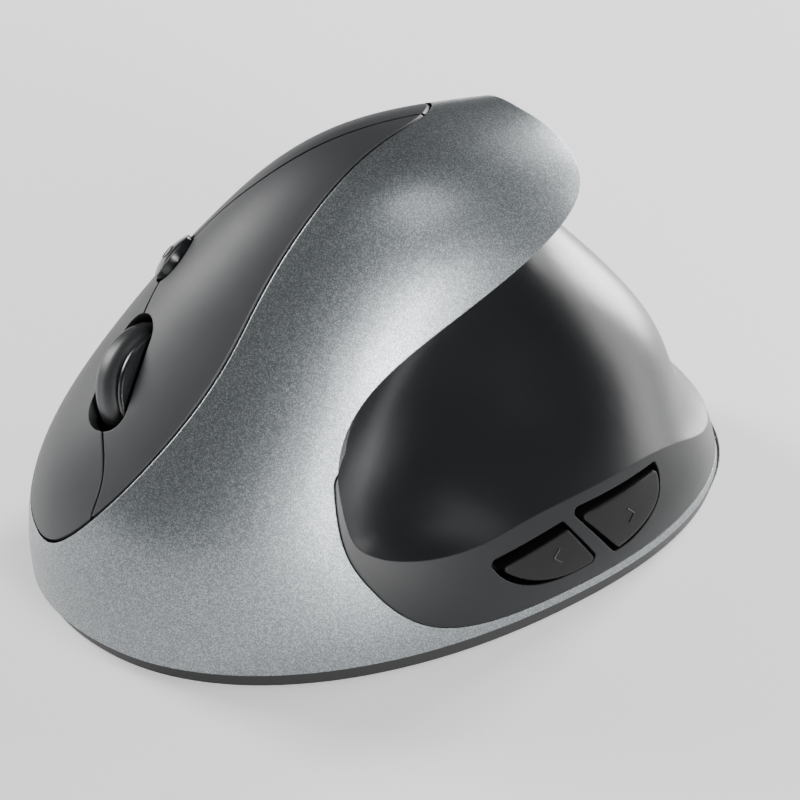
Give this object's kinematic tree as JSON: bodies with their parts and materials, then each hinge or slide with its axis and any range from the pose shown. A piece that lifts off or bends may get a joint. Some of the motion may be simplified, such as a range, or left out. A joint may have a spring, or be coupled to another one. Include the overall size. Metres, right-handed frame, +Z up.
{
  "type": "computer mouse",
  "caption": "Right-handed upright wireless mouse with two click plates, scroll wheel, side buttons, battery door and stowed radio receiver.",
  "frame": {"origin": "centre of the footprint at desk height", "axes": "-Y to the nose, +X to the thumb side, -X to the finger side, +Z up"},
  "size_m": [0.0823, 0.1178, 0.0725],
  "materials": {
    "silver_paint": "satin metallic paint",
    "dark_plastic": "soft satin",
    "black_plastic": "satin",
    "black_textured": "fine texture",
    "tyre_rubber": "smooth",
    "hub_plastic": "glossy",
    "gloss_black": "glossy",
    "glide_plastic": "smooth",
    "inner_plastic": "matte",
    "switch_black": "matte",
    "plunger_white": "matte",
    "board_green": "satin",
    "chip_black": "matte",
    "clear_lens": "clear",
    "cell_jacket": "glossy",
    "steel": "satin",
    "cable_grey": "satin",
    "capacitor_can": "satin"
  },
  "bodies": {
    "housing": {"main_band": "silver_paint", "thumb_panel": "black_plastic", "palm_cover": "black_plastic", "base_shell": "black_plastic", "glide_feet": "glide_plastic", "chassis": "inner_plastic", "click_board": "board_green", "left_switch": "switch_black", "right_switch": "switch_black", "wheel_switch": "switch_black", "dpi_switch": "switch_black", "dpi_board": "board_green", "side_board": "board_green", "forward_switch": "switch_black", "back_switch": "switch_black", "main_board": "board_green", "ribbon_cable": "cable_grey", "sensor_chip": "chip_black", "sensor_lens": "clear_lens", "mcu_chip": "chip_black", "capacitor": "capacitor_can", "power_switch": "switch_black", "battery_cell": "cell_jacket", "battery_contact": "steel", "spring_plate": "steel", "battery_spring": "steel", "case_screws": "steel"},
    "left_click": {"left_button": "dark_plastic"},
    "right_click": {"right_button": "dark_plastic"},
    "wheel_mount": {"wheel_carrier": "inner_plastic", "encoder_body": "switch_black"},
    "wheel": {"wheel_tyre": "tyre_rubber", "wheel_hub": "hub_plastic", "encoder_rotor": "plunger_white"},
    "dpi": {"dpi_button": "gloss_black"},
    "forward": {"forward_button": "black_textured"},
    "back": {"back_button": "black_textured"},
    "left_plunger_body": {"left_plunger": "plunger_white"},
    "right_plunger_body": {"right_plunger": "plunger_white"},
    "wheel_plunger_body": {"wheel_plunger": "plunger_white"},
    "dpi_plunger_body": {"dpi_plunger": "plunger_white"},
    "forward_plunger_body": {"forward_plunger": "plunger_white"},
    "back_plunger_body": {"back_plunger": "plunger_white"},
    "power": {"power_knob": "black_plastic"},
    "door": {"battery_door": "black_plastic"},
    "receiver": {"receiver_shell": "steel", "receiver_tongue": "switch_black", "receiver_cap": "black_plastic"}
  },
  "joints": [
    {"name": "left_click_hinge", "type": "hinge", "parent": "housing", "child": "left_click", "pos_m": [0.00578, 0.00399, 0.07], "axis": [0.9521, -0.197, 0.234], "range_deg": [0, 0.4], "stiffness_Nm_per_rad": 4, "springref_deg": -0.29},
    {"name": "right_click_hinge", "type": "hinge", "parent": "housing", "child": "right_click", "pos_m": [0.00078, 0.00599, 0.066], "axis": [0.9057, -0.4178, -0.072], "range_deg": [0, 0.4], "stiffness_Nm_per_rad": 4, "springref_deg": -0.29},
    {"name": "wheel_press", "type": "slide", "parent": "housing", "child": "wheel_mount", "axis": [0.221, 0.7429, -0.6319], "range_m": [0, 0.0005], "stiffness_N_per_m": 2500, "springref_m": -0.0003},
    {"name": "wheel_spin", "type": "hinge", "parent": "wheel_mount", "child": "wheel", "pos_m": [-0.00897, -0.03931, 0.03708], "axis": [0.9543, -0.0311, 0.2972], "continuous": true},
    {"name": "dpi_press", "type": "slide", "parent": "housing", "child": "dpi", "axis": [0.6008, 0.4499, -0.6608], "range_m": [0, 0.0005], "stiffness_N_per_m": 1500, "springref_m": -0.0004},
    {"name": "forward_press", "type": "slide", "parent": "housing", "child": "forward", "axis": [-1, 0, 0], "range_m": [0, 0.0005], "stiffness_N_per_m": 1500, "springref_m": -0.0004},
    {"name": "back_press", "type": "slide", "parent": "housing", "child": "back", "axis": [-1, 0, 0], "range_m": [0, 0.0005], "stiffness_N_per_m": 1500, "springref_m": -0.0004},
    {"name": "left_plunger_slide", "type": "slide", "parent": "housing", "child": "left_plunger_body", "axis": [0.221, 0.7429, -0.6319], "range_m": [0, 0.0005]},
    {"name": "right_plunger_slide", "type": "slide", "parent": "housing", "child": "right_plunger_body", "axis": [0.221, 0.7429, -0.6319], "range_m": [0, 0.0005]},
    {"name": "wheel_plunger_slide", "type": "slide", "parent": "housing", "child": "wheel_plunger_body", "axis": [0.221, 0.7429, -0.6319], "range_m": [0, 0.0006]},
    {"name": "dpi_plunger_slide", "type": "slide", "parent": "housing", "child": "dpi_plunger_body", "axis": [0.6008, 0.4499, -0.6608], "range_m": [0, 0.0006]},
    {"name": "forward_plunger_slide", "type": "slide", "parent": "housing", "child": "forward_plunger_body", "axis": [-1, 0, 0], "range_m": [0, 0.0006]},
    {"name": "back_plunger_slide", "type": "slide", "parent": "housing", "child": "back_plunger_body", "axis": [-1, 0, 0], "range_m": [0, 0.0006]},
    {"name": "power_slide", "type": "slide", "parent": "housing", "child": "power", "axis": [0, 1, 0], "range_m": [0, 0.0025]},
    {"name": "door_release", "type": "slide", "parent": "housing", "child": "door", "axis": [0, 0, -1], "range_m": [0, 0.015]},
    {"name": "receiver_release", "type": "slide", "parent": "housing", "child": "receiver", "axis": [0, 0, -1], "range_m": [0, 0.012]}
  ],
  "couplings": [
    {"joint": "left_plunger_slide", "follows": "left_click_hinge", "m_per_rad": 0.04927},
    {"joint": "right_plunger_slide", "follows": "right_click_hinge", "m_per_rad": 0.05453},
    {"joint": "wheel_plunger_slide", "follows": "wheel_press", "ratio": 1},
    {"joint": "dpi_plunger_slide", "follows": "dpi_press", "ratio": 1},
    {"joint": "forward_plunger_slide", "follows": "forward_press", "ratio": 1},
    {"joint": "back_plunger_slide", "follows": "back_press", "ratio": 1}
  ]
}
